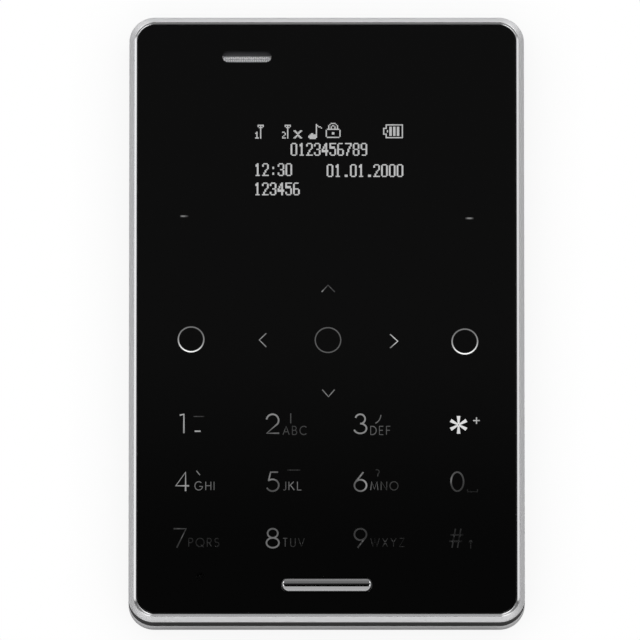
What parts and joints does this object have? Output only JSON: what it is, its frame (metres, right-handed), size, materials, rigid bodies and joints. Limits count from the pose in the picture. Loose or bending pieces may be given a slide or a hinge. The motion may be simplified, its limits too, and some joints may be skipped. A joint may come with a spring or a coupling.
{
  "type": "mobile phone",
  "caption": "Card-size slab mobile phone: black glass touch-key front, small dot display, metal frame, raised bar key, slide-out card tray with pin ejector, vibration motor.",
  "frame": {"origin": "middle of the rear cover's outer face, which the phone rests on", "axes": "+X across the front to the right, +Y up the front towards the earpiece, +Z out of the glass"},
  "size_m": [0.054, 0.085, 0.0063],
  "materials": {
    "frame_metal": "satin anodised, polished on the inner bevel",
    "black_glass": "polished glass, printed black behind",
    "cover_plastic": "fine matte texture",
    "key_chrome": "polished",
    "mesh_steel": "fine mesh",
    "sheet_steel": "pressed sheet",
    "black_rubber": "matte",
    "clear_plastic": "clear sheet",
    "board_green": "solder mask",
    "moulded_plastic": "moulded",
    "chip_black": "moulded",
    "contact_gold": "gold flash",
    "flex_amber": "film",
    "display_glass": "polished",
    "battery_foil": "satin foil",
    "led_white": "cast resin"
  },
  "bodies": {
    "phone": {"frame": "frame_metal", "side_band": "black_rubber", "rear_cover": "cover_plastic", "chassis_plate": "sheet_steel", "front_glass": "black_glass", "glass_gasket": "black_rubber", "touch_film": "clear_plastic", "earpiece_mesh": "mesh_steel", "earpiece_gasket": "black_rubber", "earpiece_receiver": "sheet_steel", "wake_dome": "sheet_steel", "keypad_board": "board_green", "key_leds": "led_white", "light_guide": "clear_plastic", "microphone": "black_rubber", "microphone_boot": "black_rubber", "display_bracket": "moulded_plastic", "display_tape": "black_rubber", "display_panel": "display_glass", "display_driver": "chip_black", "display_flex": "flex_amber", "display_connector": "moulded_plastic", "main_board": "board_green", "board_screws": "sheet_steel", "baseband_shield": "sheet_steel", "baseband_chip": "chip_black", "amplifier_shield": "sheet_steel", "amplifier_chip": "chip_black", "sim_base": "moulded_plastic", "sim_contacts": "contact_gold", "sim_cage": "sheet_steel", "eject_pivot": "sheet_steel", "usb_shell": "sheet_steel", "usb_tongue": "moulded_plastic", "battery_cell": "battery_foil", "battery_protection_board": "board_green", "battery_tail": "flex_amber", "battery_connector": "moulded_plastic", "loudspeaker": "moulded_plastic", "speaker_gasket": "black_rubber", "antenna_carrier": "moulded_plastic", "antenna_film": "contact_gold", "lower_flex": "flex_amber", "motor_base": "sheet_steel", "motor_case": "sheet_steel", "motor_shaft": "sheet_steel"},
    "bar_key": {"wake_key": "key_chrome"},
    "card_tray": {"sim_tray": "frame_metal", "tray_face": "frame_metal"},
    "ejector_lever": {"eject_lever": "sheet_steel"},
    "ejector_rod": {"eject_rod": "sheet_steel"},
    "vibration_rotor": {"rotor_hub": "sheet_steel", "rotor_weight": "sheet_steel"}
  },
  "joints": [
    {"name": "bar_key_press", "type": "slide", "parent": "phone", "child": "bar_key", "axis": [0, 0, -1], "range_m": [0, 0.00022], "stiffness_N_per_m": 6000, "deforming": ["wake_dome"]},
    {"name": "card_tray_slide", "type": "slide", "parent": "phone", "child": "card_tray", "axis": [1, 0, 0], "range_m": [0, 0.03]},
    {"name": "eject_lever_swing", "type": "hinge", "parent": "phone", "child": "ejector_lever", "pos_m": [-0.00289, 0.02838, 0.00167], "axis": [0, 0, 1], "range_deg": [0, 16]},
    {"name": "eject_rod_push", "type": "slide", "parent": "phone", "child": "ejector_rod", "axis": [-1, 0, 0], "range_m": [0, 0.0006]},
    {"name": "vibration_spin", "type": "hinge", "parent": "phone", "child": "vibration_rotor", "pos_m": [0.017, -0.03385, 0.002], "axis": [0, 0, 1], "continuous": true}
  ],
  "couplings": [
    {"joint": "eject_lever_swing", "follows": "card_tray_slide", "rad_per_m": 9.3},
    {"joint": "eject_rod_push", "follows": "card_tray_slide", "ratio": 0.0199}
  ]
}
